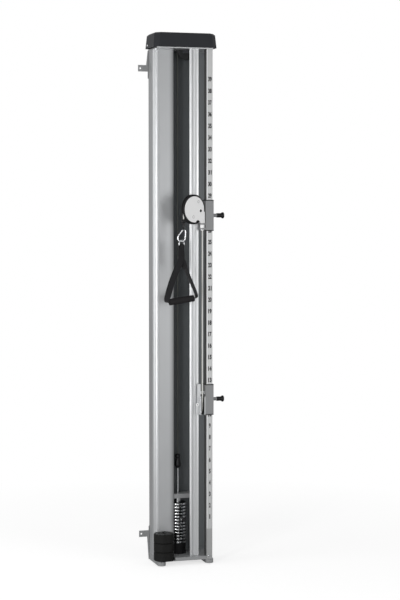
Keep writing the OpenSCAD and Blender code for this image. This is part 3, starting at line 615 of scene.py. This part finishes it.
class CABLE_OT_column(bpy.types.Operator):
    """Finish the column's profiles, rail, base, brackets and cap"""
    bl_idname = "cable.column"
    bl_label = "Column finishes"

    def execute(self, context):
        look = context.scene.cable_frame
        # Painted shade: the cover darkens to 0.22 of its colour over its last 26 mm before its
        # right edge, for the real face curving back into the recess.
        painted_edge_shade = (high("left_cover").x, 0.026, 0.22)
        give(["left_cover"], anodised("Anodised cover", look.cover, 0.36, painted_edge_shade=painted_edge_shade))
        give(["front_rib"], anodised("Anodised rib", look.rib, 0.34))
        # Painted shade: the panel's dark colour stands for the shade of the recess.
        give(["back_panel"], anodised("Anodised panel", look.panel, 0.42))
        # Painted shade: the rail tube's left side and the first 1.2 mm of its front are darkened to
        # 0.22 of their colour, because that side falls in shade.
        wall = low("guide_rail").x + 0.0012
        give(["guide_rail"], side_toned("Rail tube", look.rail, wall, painted_light_factor=0.22,
                                        roughness=0.34, metallic=0.5))
        # Painted highlight: the scale strip's left 3.5 mm is brightened 1.45 times, for the light
        # that its left edge catches.
        highlight_band = low("scale_strip").x + 0.0035
        give(["scale_strip"], side_toned("Scale strip", shade(look.rail, 1.25), highlight_band, painted_light_factor=1.45,
                                         roughness=0.4, metallic=0.3))
        give(["left_runner", "right_runner", "runner_plugs", "base_plate", "wall_bracket_top",
              "wall_bracket_bottom", "head_bar"], coated_steel("Base coat", look.steel))
        give(["upper_carriage", "lower_carriage"],
             coated_steel("Carriage coat", shade(look.steel, 0.85), 0.34))
        give(["top_cap"], moulded("Cap plastic", look.cap, 0.42, 900.0, 0.25))
        return {"FINISHED"}


def on_swivel(place, face):
    """A point on a face of the swivel block."""
    reach, rise = place
    return RISER_TOP + SWIVEL_WAY * reach + SWIVEL_OUT * face + Vector((0, 0, rise))


class CABLE_OT_parts(bpy.types.Operator):
    """Finish the stack, pulleys, pins, stoppers and spare weights"""
    bl_idname = "cable.parts"
    bl_label = "Moving parts' finishes"

    def execute(self, context):
        look = context.scene.cable_parts
        chrome = plated("Chrome plates", look.chrome, 0.26)
        bright = plated("Bright hardware", shade(look.chrome, 1.35), 0.16)
        zinc = plated("Zinc plate", shade(look.chrome, 1.1), 0.3, 0.1)
        black = moulded("Black plastic", look.black, 0.4)
        foot = low("resting_plates").z
        pitch = (high("weight_plate_1").z - foot) / (len(PLATES) + RESTING_COUNT)
        give(PLATES + ["resting_plates"], stack_chrome("Stack chrome", look.chrome, foot, pitch))
        give(["selector_rod"], chrome)
        give(["lift_rod", "snap_hook", "snap_hook_gate", "handle_ring", "screws",
              "top_pulley_axle", "swivel_pulley_axle", "lower_pulley_axle"], bright)
        give(["top_plate", "lower_pulley_bracket"], zinc)
        give(["top_pulley_bracket"], plated("Dark bracket", (0.05, 0.05, 0.055), 0.4))
        rivets = [on_swivel(place, RIVET_FACE) for place in RIVET_PLACES]
        give(["swivel_cheeks"], enamel("White enamel", look.cheek, rivets, RIVET_R))
        dark = coated_steel("Black bush", look.black, 0.5)
        pale = coated_steel("Pale bolt", look.cheek, 0.3)
        guard = Vector((*GUARD_BOLT_XY, middle("lower_pulley_axle").z + GUARD_BOLT_RISE))
        fittings = (
            ("swivel_bush", "swivel_bush_ring", on_swivel(BUSH_PLACE, BUSH_FACE), SWIVEL_OUT,
             BUSH_HEAD, BUSH_RING_HEAD, "swivel"),
            ("guard_bolt_socket", "guard_bolt", guard, Vector((0, -1, 0)),
             GUARD_SOCKET_HEAD, GUARD_BOLT_HEAD, "lower_slider"),
        )
        for upper, lower, seat, outward, small, wide, body in fittings:
            stud(lower, seat, outward, wide, pale, body)
            stud(upper, seat + outward * (wide[1] - HEAD_LAP), outward, small, dark, body)
        give(["top_pulley", "swivel_pulley", "lower_pulley",
              "upper_carriage_ends", "lower_carriage_ends", "upper_lock_pin", "lower_lock_pin",
              "selector_pin", "stack_stopper", "handle_stopper"], black)
        give(["floor_pads", "stack_bumper"], foam_rubber("Bumper rubber", look.black))
        give(SPARES, painted_iron("Painted iron", look.iron))
        return {"FINISHED"}


class CABLE_OT_scale(bpy.types.Operator):
    """Print the numbers of the height scale down the front of the rail"""
    bl_idname = "cable.scale"
    bl_label = "Scale numbers"

    def execute(self, context):
        look = context.scene.cable_scale
        strip = low("scale_strip")
        x = middle("scale_strip").x + NUMBER_SHIFT
        numbers = []
        for number in range(1, NUMBER_COUNT + 1):
            deselect()
            bpy.ops.object.text_add()
            text = bpy.context.object
            text.data.body = str(number)
            text.data.align_x = "CENTER"
            text.data.align_y = "CENTER"
            text.data.size = TEXT_SIZE
            text.data.resolution_u = 6
            text.data.offset = TEXT_BOLD
            bpy.ops.object.convert(target="MESH")
            piece = added("number_%02d" % number)
            corners = [Vector(corner) for corner in piece.bound_box]
            lowest, highest = corners[0], corners[6]
            size = highest - lowest
            width = look.digit_w * (1 if number < 10 else TWO_DIGITS)
            if number == 1:
                width = look.digit_w * NARROW_ONE
            wide = width / size.x
            fit = Matrix.Diagonal((wide, look.digit_h / size.y, 1, 1))
            centred = Matrix.Translation(-(lowest + highest) / 2)
            z = FIRST_NUMBER_Z + NUMBER_PITCH * (number - 1)
            stand = Matrix.Rotation(math.pi / 2, 4, "X")
            place = Matrix.Translation((x, strip.y - INK_LIFT, z))
            settle(piece, place @ stand @ fit @ centred)
            numbers.append(piece)
        scale = joined("scale_numbers", numbers)
        paint_piece(scale, ink("Scale ink", look.ink))
        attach(scale, "column")
        return {"FINISHED"}


def rope(name, foot, top, tilt=None):
    """A round rope between two points, with an inset ring on each end."""
    foot, top = Vector(foot), Vector(top)
    deselect()
    bpy.ops.mesh.primitive_cylinder_add(vertices=ROPE_SIDES, radius=ROPE_R, depth=1.0)
    piece = added(name)
    edit(piece)
    select_faces(piece, lambda centre, normal: abs(normal.z) > 0.9)
    bpy.ops.mesh.inset(thickness=ROPE_INSET)
    finish_edit()
    length = (top - foot).length
    settle(piece, Matrix.Diagonal((1, 1, length, 1)))
    if tilt is not None:
        for vertex in piece.data.vertices:
            vertex.co.z -= tilt.dot(vertex.co.xy)
    settle(piece, Matrix.Translation((foot + top) / 2))
    smooth(piece)
    return piece


class CABLE_OT_ropes(bpy.types.Operator):
    """Run the cable's straight lengths between the ends of their nodes in the frame"""
    bl_idname = "cable.ropes"
    bl_label = "Cable runs"

    def execute(self, context):
        look = context.scene.cable_parts
        finish = sheathed_rope("Cable sheath", look.rope)
        # Painted shade: a darker copy of the cable sheath, for the stack's run in the shaded
        # channel.
        dark = sheathed_rope("Dark cable sheath", look.stack_rope)
        give(["top_cable_bend", "lower_cable_bend", "swivel_cable_bend"], finish)
        runs = (
            ("stack_cable", "column", "moving_stack", True),
            ("return_cable", "column", "lower_slider", True),
            ("riser_cable_low", "column", "lower_slider", True),
            ("riser_cable_high", "column", "upper_slider", False),
        )
        for node, still, moving, hangs in runs:
            centre = middle(node)
            foot = (centre.x, centre.y, low(node).z)
            top = (centre.x, centre.y, high(node).z)
            piece = rope(node + "_rope", foot, top)
            paint_piece(piece, dark if node == "stack_cable" else finish)
            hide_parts(node)
            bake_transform(piece)
        outward = Vector((DROP.x - RISER.x, DROP.y - RISER.y)).normalized()
        foot = (DROP.x, DROP.y, low("pull_cable").z)
        top = (DROP.x, DROP.y, SWIVEL_Z)
        piece = rope("pull_cable_rope", foot, top, outward)
        paint_piece(piece, finish)
        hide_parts("pull_cable")
        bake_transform(piece)
        return {"FINISHED"}


def ribbon(name, stations, thickness):
    """A strap through stations of centre, width vector and face normal, with its own UV map."""
    mesh = bmesh.new()
    uv = mesh.loops.layers.uv.new("Strap")
    rings = []
    run = 0.0
    last = None
    for centre, side, normal in stations:
        half = side.length
        across = side.normalized()
        if last is not None:
            run += (centre - last).length
        last = centre
        edge = thickness / 2
        outline = []
        for sign in (1, -1):
            for step in (-1, -0.6, -0.2, 0.2, 0.6, 1):
                place = step * sign
                lift = edge * (0.55 if abs(step) == 1 else 1.0) * sign
                point = centre + across * (place * half) + normal * lift
                outline.append((point, place * half, run))
        rings.append([(mesh.verts.new(point), u, v) for point, u, v in outline])
    count = len(rings[0])
    for lower, upper in zip(rings, rings[1:]):
        for index in range(count):
            after = (index + 1) % count
            corners = (lower[index], lower[after], upper[after], upper[index])
            face = mesh.faces.new([corner[0] for corner in corners])
            for loop, corner in zip(face.loops, corners):
                loop[uv].uv = (corner[1], corner[2])
    for ring in (rings[0], rings[-1]):
        face = mesh.faces.new([corner[0] for corner in ring])
        for loop, corner in zip(face.loops, ring):
            loop[uv].uv = (corner[1], corner[2])
    piece = finished(name, mesh)
    smooth(piece, 60)
    return piece


def curve(first, bend, last, steps):
    """Points of a quadratic curve, without its first point."""
    points = []
    for index in range(1, steps + 1):
        share = index / steps
        points.append(first.lerp(bend, share).lerp(bend.lerp(last, share), share))
    return points


# A leg of the strap, in metres and in shares of the leg
TUCK = 0.02
MOUTH = 0.002
BOW_OUT = 0.006
BOW_SINK = 0.002
BENDS = (0.16, 0.88)
BOW_STEPS, LEG_STEPS, FORK_STEPS, LOOP_STEPS = 8, 18, 6, 8
FORK_SHARE = 0.92
FORK_RISE = 0.012
LEFT_BULGE = 0.005

# The strap's neck and its loop around the ring's bar
GRIP_END = 0.0125
REACH_SLACK = 0.0015
LAYER_GAP = 0.6
NECK_DROP = 0.014
NECK_TURN = 0.8
NECK_WIDTH = 0.92
LOOP_DROP = 0.001
LOOP_WIDTH = 0.91


def strap_leg(sign, grip_mid, grip_half, reach, fork, layer):
    """Centres of one leg from inside the grip up to the fork, each with its share of the twist."""
    way = Vector((math.cos(GRIP_TILT), 0, math.sin(GRIP_TILT))) * sign
    inside = grip_mid + way * (grip_half - TUCK)
    mouth = grip_mid + way * (grip_half + MOUTH)
    corner = grip_mid + way * (reach + BOW_OUT) - Vector((0, 0, BOW_SINK))
    foot, head = (corner.lerp(fork, share) for share in BENDS)
    places = [(inside, -1.0), (mouth, -1.0)]
    bow = curve(mouth, corner, foot, BOW_STEPS)
    places += [(point, (index + 1) / BOW_STEPS - 1) for index, point in enumerate(bow)]
    places += [(foot.lerp(head, index / LEG_STEPS), FORK_SHARE * index / LEG_STEPS)
               for index in range(1, LEG_STEPS)]
    bend = curve(head, fork, fork + Vector((0, 0, FORK_RISE)), FORK_STEPS)
    places += [(point, FORK_SHARE + (1 - FORK_SHARE) * (index + 1) / FORK_STEPS)
               for index, point in enumerate(bend)]
    out = Vector((-LEFT_BULGE if sign < 0 else 0.0, 0, 0))
    return [(point + layer * max(share, 0) ** 4 + out * math.sin(math.pi * max(share, 0)), share)
            for point, share in places]


def between(stops, share):
    """A value read off a list of (share, value) stops by straight lines."""
    for (start, first), (end, last) in zip(stops, stops[1:]):
        if share <= end:
            return first + (last - first) * max(0.0, share - start) / (end - start)
    return stops[-1][1]


# Turns in degrees and widths as shares of the webbing, by the share of the leg
LEG_TURNS = {-1: ((-1.0, -90), (-0.6, -60), (-0.2, -38), (0.12, -20), (0.9, -14), (1.0, 2)),
             1: ((-1.0, -90), (-0.5, -76), (0.7, -70), (0.92, -30), (1.0, 2))}
LEG_WIDTHS = ((-1.0, 0.66), (-0.5, 0.9), (0.0, 1.0), (0.9, 1.0), (1.0, 0.95))


def strap_stations(look):
    """The whole strap: up one leg, around the ring's bar and down the other leg."""
    off = Vector((math.sin(RING_TURN), -math.cos(RING_TURN), 0))
    bar = Vector((0, 0, -look.bar_drop))
    fork = Vector((0, 0, -look.fork_drop))
    grip_mid = Vector((0, 0, -look.grip_drop))
    reach = (high("handle_strap").x - low("handle_strap").x) / 2 / math.cos(GRIP_TILT)
    grip_half = reach - GRIP_END
    gap = look.thickness * LAYER_GAP
    turn = RING_WIRE_R + look.thickness / 2
    centres = []
    for sign in (-1, 1):
        layer = off * (gap * -sign)
        leg = strap_leg(sign, grip_mid, grip_half, reach - REACH_SLACK, fork, layer)
        leg = [(point, math.radians(between(LEG_TURNS[sign], share)), between(LEG_WIDTHS, share))
               for point, share in leg]
        neck = bar + layer - Vector((0, 0, NECK_DROP))
        leg.append((neck, RING_TURN * NECK_TURN, NECK_WIDTH))
        beside = bar + off * (turn * -sign) - Vector((0, 0, LOOP_DROP))
        leg.append((beside, RING_TURN, LOOP_WIDTH))
        centres.append(leg)
    around = []
    for step in range(1, LOOP_STEPS):
        angle = math.pi * step / LOOP_STEPS
        point = bar + off * (turn * math.cos(angle)) + Vector((0, 0, turn * math.sin(angle)))
        around.append((point, RING_TURN, LOOP_WIDTH))
    path = centres[0] + around + list(reversed(centres[1]))
    stations = []
    for index, (point, angle, wide) in enumerate(path):
        before = path[max(index - 1, 0)][0]
        after = path[min(index + 1, len(path) - 1)][0]
        direction = (after - before).normalized()
        flat = Vector((math.cos(angle), math.sin(angle), 0))
        side = (flat - direction * flat.dot(direction)).normalized()
        stations.append((point, side * (wide * look.width / 2), direction.cross(side).normalized()))
    return stations


def foam_tube(name, node, bore):
    """A foam sleeve with soft ends and a slight belly, on the axis of the node it stands for."""
    extent = high(node) - low(node)
    radius = extent.y / 2
    length = (extent.x - extent.y * math.sin(GRIP_TILT)) / math.cos(GRIP_TILT)
    soft = (radius - bore) * FOAM_SOFT_END
    profile = [(bore, -length / 2 + soft * 0.5), (bore, length / 2 - soft * 0.5)]
    for end in (1, -1):
        steps = range(RIM_STEPS + 1)
        for step in steps if end > 0 else reversed(steps):
            angle = math.pi / 2 * step / RIM_STEPS
            rim = radius - FOAM_BELLY - soft * (1 - math.sin(angle))
            profile.append((rim, end * (length / 2 - soft * (1 - math.cos(angle)))))
        if end > 0:
            for step in range(1, BELLY_STEPS):
                share = 1 - 2 * step / BELLY_STEPS
                profile.append((radius - FOAM_BELLY * abs(share), (length / 2 - soft) * share))
    mesh = bmesh.new()
    rings = []
    for index in range(FOAM_SIDES):
        angle = math.tau * index / FOAM_SIDES
        rings.append([mesh.verts.new((r * math.cos(angle), r * math.sin(angle), z))
                      for r, z in profile])
    for first, second in zip(rings, rings[1:] + rings[:1]):
        for index in range(len(profile)):
            after = (index + 1) % len(profile)
            mesh.faces.new((first[index], first[after], second[after], second[index]))
    piece = finished(name, mesh)
    lay = Matrix.Rotation(math.pi / 2 - GRIP_TILT, 4, "Y")
    settle(piece, Matrix.Translation(middle(node)) @ lay)
    smooth(piece, 50)
    return piece


class CABLE_OT_handle(bpy.types.Operator):
    """Sew the webbing of the handle and slide on its foam grip"""
    bl_idname = "cable.handle"
    bl_label = "Strap handle"

    def execute(self, context):
        look = context.scene.cable_strap
        ring_mid = middle("handle_ring")
        top = Vector((ring_mid.x, ring_mid.y, high("handle_ring").z - RING_WIRE_R))
        strap = ribbon("strap_webbing", strap_stations(look), look.thickness)
        settle(strap, Matrix.Translation(top))
        paint_piece(strap, webbing("Webbing", look.colour, look.thread))
        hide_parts("handle_strap")
        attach(strap, "handle")
        grip = foam_tube("foam_grip", "handle_grip", look.bore / 2)
        paint_piece(grip, foam_rubber("Foam grip", look.grip))
        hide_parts("handle_grip")
        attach(grip, "grip")
        return {"FINISHED"}


# The studio: floor, world and lamps as name, place, aim, size and power
FLOOR_SIZE = 30.0
FLOOR_SINK = 0.0005
FLOOR_GREY = (0.5, 0.5, 0.5)
GLOW_START = 0.9
GLOW_RISE = 0.8
GLOW_NEAR = 0.7
WORLD_LEVEL = 0.4
LAMPS = (
    ("key", (-2.46, -2.64, 1.16), (0, 0, 1.16), (0.5, 2.1), 40),
    ("side", (-3.6, -0.3, 1.3), (0, 0, 1.2), (2.0, 2.6), 38),
    ("fill", (2.9, -4.2, 1.2), (0, 0, 1.2), (2.2, 2.2), 54),
    ("front", (-1.9, -8.4, 1.3), (0, 0, 1.1), (0.8, 3.0), 50),
)
CAMERA_AIM = Vector((0.0732, -0.0094, 1.154))
SENSOR_WIDTH = 36.0


def area_light(name, place, target, size, power):
    deselect()
    bpy.ops.object.light_add(type="AREA", location=place)
    lamp = bpy.context.object
    lamp.name = name
    lamp.data.shape = "RECTANGLE"
    lamp.data.size, lamp.data.size_y = size
    lamp.data.energy = power
    way = Vector(target) - Vector(place)
    lamp.rotation_euler = way.to_track_quat("-Z", "Y").to_euler()


class CABLE_OT_stage(bpy.types.Operator):
    """Set the pale floor, the studio light and the camera"""
    bl_idname = "cable.stage"
    bl_label = "Stage"

    def execute(self, context):
        look = context.scene.cable_stage
        scene = context.scene
        deselect()
        bpy.ops.mesh.primitive_plane_add(size=FLOOR_SIZE, location=(0, 0, -FLOOR_SINK))
        floor = added("floor")
        edit(floor)
        bpy.ops.mesh.select_all(action="SELECT")
        bpy.ops.mesh.subdivide(number_cuts=4)
        finish_edit()
        settle(floor)
        paint = Paint("Pale floor", FLOOR_GREY, 0.9, 0.0, 0.0)
        rays = paint.tree.nodes.new("ShaderNodeLightPath")
        seen = Value(paint, rays.outputs["Is Camera Ray"])
        seen = (seen + Value(paint, rays.outputs["Is Transmission Ray"])).clamped()
        reach = paint.node("ShaderNodeVectorMath", {"operation": "LENGTH"}, {0: paint.place()}, 1)
        far = ((reach - GLOW_START) * GLOW_RISE).clamped()
        glow = seen * (far * (1 - GLOW_NEAR) + GLOW_NEAR)
        white, dark = (1.0, 1.0, 1.0, 1.0), (0.0, 0.0, 0.0, 1.0)
        paint.set("Emission Color", paint.mix(glow, dark, white))
        paint.set("Emission Strength", 1.0)
        paint.set("Base Color", paint.mix(far * seen, opaque(FLOOR_GREY), dark))
        paint_piece(floor, paint.material)

        world = bpy.data.worlds.new("Studio")
        scene.world = world
        world.use_nodes = True
        tree = world.node_tree
        background = tree.nodes["Background"]
        background.inputs["Color"].default_value = (1, 1, 1, 1)
        path = tree.nodes.new("ShaderNodeLightPath")
        total = tree.nodes.new("ShaderNodeMath")
        total.operation = "ADD"
        tree.links.new(path.outputs["Is Camera Ray"], total.inputs[0])
        tree.links.new(path.outputs["Is Transmission Ray"], total.inputs[1])
        level = tree.nodes.new("ShaderNodeMapRange")
        level.inputs["To Min"].default_value = WORLD_LEVEL
        level.inputs["To Max"].default_value = 1.0
        tree.links.new(total.outputs[0], level.inputs["Value"])
        tree.links.new(level.outputs[0], background.inputs["Strength"])

        for lamp in LAMPS:
            area_light(*lamp)

        turn, pitch = look.azimuth, look.pitch
        level_way = Vector((-math.sin(turn), math.cos(turn), 0))
        way = level_way * math.cos(pitch) - Vector((0, 0, math.sin(pitch)))
        deselect()
        bpy.ops.object.camera_add(location=CAMERA_AIM - way * look.distance)
        camera = bpy.context.object
        camera.rotation_euler = way.to_track_quat("-Z", "Y").to_euler()
        camera.data.lens = look.lens
        camera.data.sensor_width = SENSOR_WIDTH
        scene.camera = camera
        scene.view_settings.view_transform = "Standard"
        return {"FINISHED"}


OPERATORS = (CABLE_OT_column, CABLE_OT_parts, CABLE_OT_scale, CABLE_OT_ropes, CABLE_OT_handle,
             CABLE_OT_stage)


class CABLE_PT_panel(bpy.types.Panel):
    bl_idname = "CABLE_PT_panel"
    bl_label = "Cable machine"
    bl_space_type = "VIEW_3D"
    bl_region_type = "UI"
    bl_category = "Cable machine"

    def draw(self, context):
        for name, group in LOOKS:
            look = getattr(context.scene, name)
            box = self.layout.box()
            for key in group.__annotations__:
                box.prop(look, key)
        for operator in OPERATORS:
            self.layout.operator(operator.bl_idname)


CLASSES = tuple(group for name, group in LOOKS) + OPERATORS + (CABLE_PT_panel,)


def register():
    for item in CLASSES:
        bpy.utils.register_class(item)
    for name, group in LOOKS:
        setattr(bpy.types.Scene, name, bpy.props.PointerProperty(type=group))


def unregister():
    for name, group in LOOKS:
        delattr(bpy.types.Scene, name)
    for item in reversed(CLASSES):
        bpy.utils.unregister_class(item)


def main():
    register()
    bpy.ops.cable.column()
    bpy.ops.cable.parts()
    bpy.ops.cable.scale()
    bpy.ops.cable.ropes()
    bpy.ops.cable.handle()
    bpy.ops.cable.stage()


if __name__ == "__main__":
    main()
